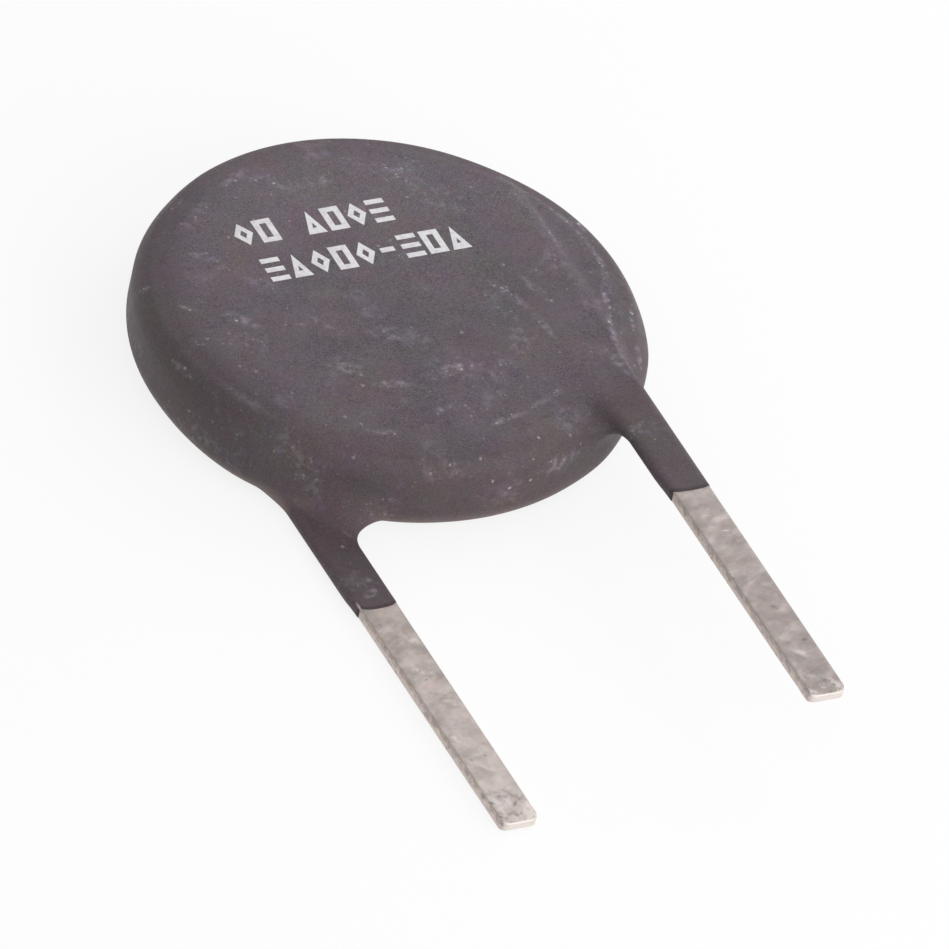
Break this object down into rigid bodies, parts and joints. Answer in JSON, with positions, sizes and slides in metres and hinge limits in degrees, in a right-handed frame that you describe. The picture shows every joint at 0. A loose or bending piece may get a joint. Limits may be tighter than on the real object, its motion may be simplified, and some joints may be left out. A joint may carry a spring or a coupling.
{
  "type": "disc thermistor",
  "caption": "Round, flat ceramic disc in a dark dip coat, with flat tinned strip leads side by side, which limits inrush current as it warms.",
  "frame": {"origin": "on the disc's axis, in the plane of the back face that it lies on", "axes": "+Z is the outward normal of the front face, -Y is the way that both leads point, and +X runs from the back lead to the front lead"},
  "size_m": [0.032, 0.0581, 0.0062],
  "materials": {
    "coat": "matt dip coat, dark warm grey, with fine pale scuffs",
    "oxide_ceramic": "sintered, matt, near black",
    "fired_silver": "fired silver film, matt",
    "solder": "soft solder, satin",
    "tinned_copper": "matt tin plate with handling marks"
  },
  "bodies": {
    "root": {"coating": "coat", "ceramic_disc": "oxide_ceramic", "electrode_back": "fired_silver", "electrode_front": "fired_silver", "solder_back": "solder", "solder_front": "solder", "lead_back": "tinned_copper", "lead_front": "tinned_copper"}
  },
  "joints": []
}
